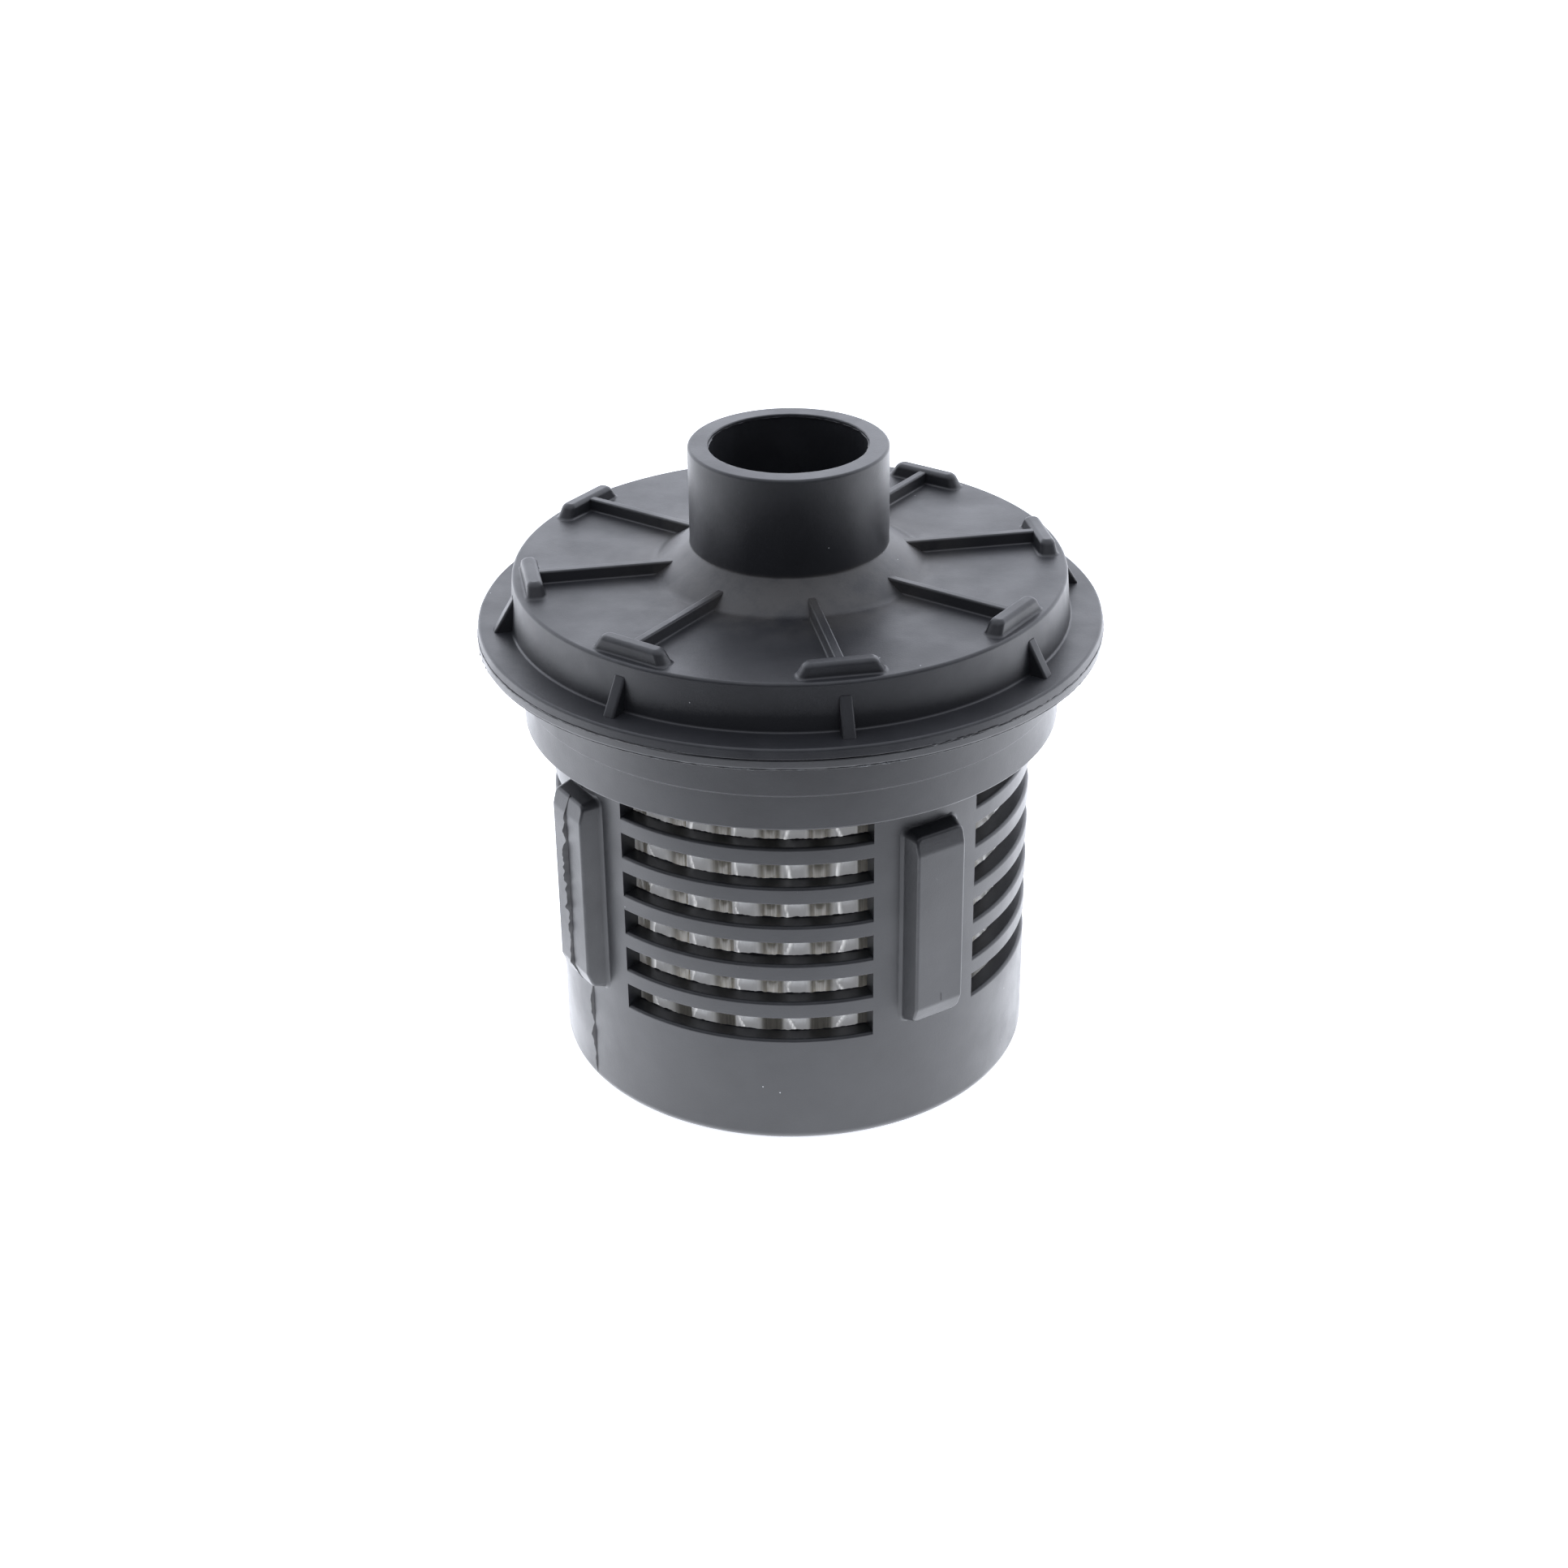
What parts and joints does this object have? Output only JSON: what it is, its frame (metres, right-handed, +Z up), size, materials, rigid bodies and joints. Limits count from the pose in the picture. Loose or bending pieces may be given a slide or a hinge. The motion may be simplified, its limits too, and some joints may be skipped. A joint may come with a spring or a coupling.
{
  "type": "pneumatic muffler",
  "caption": "Drum-shaped exhaust silencer with a plain neck, ribbed flanged cover, stepped collar and a slotted basket over a clear fluted sleeve.",
  "frame": {"origin": "centre of the base's underside, on the neck's axis", "axes": "+Z up along the neck and the drum; the four windows face +X, +Y, -X and -Y; the raised pads stand at 45 degrees between them"},
  "size_m": [0.0906, 0.0906, 0.0942],
  "materials": {
    "cover_plastic": "satin moulded",
    "basket_plastic": "satin moulded",
    "weld_plastic": "re-melted, rough",
    "inner_plastic": "satin moulded",
    "felt": "pressed felt",
    "plastic_mesh": "extruded strand",
    "fibre": "loose wound fibre",
    "clear_film": "clear glossy film",
    "tape": "smooth tape"
  },
  "bodies": {
    "root": {"cover": "cover_plastic", "basket": "basket_plastic", "weld_bead": "weld_plastic", "inlet_tube": "inner_plastic", "tube_plug": "inner_plastic", "upper_retainer": "inner_plastic", "lower_support": "inner_plastic", "upper_felt": "felt", "lower_felt": "felt", "inner_mesh": "plastic_mesh", "spacer_mesh_inner": "plastic_mesh", "spacer_mesh_outer": "plastic_mesh", "fibre_inner": "fibre", "fibre_middle": "fibre", "fibre_outer": "fibre", "film_liner": "clear_film", "fluted_sleeve": "clear_film", "film_seam_tape": "tape"}
  },
  "joints": []
}
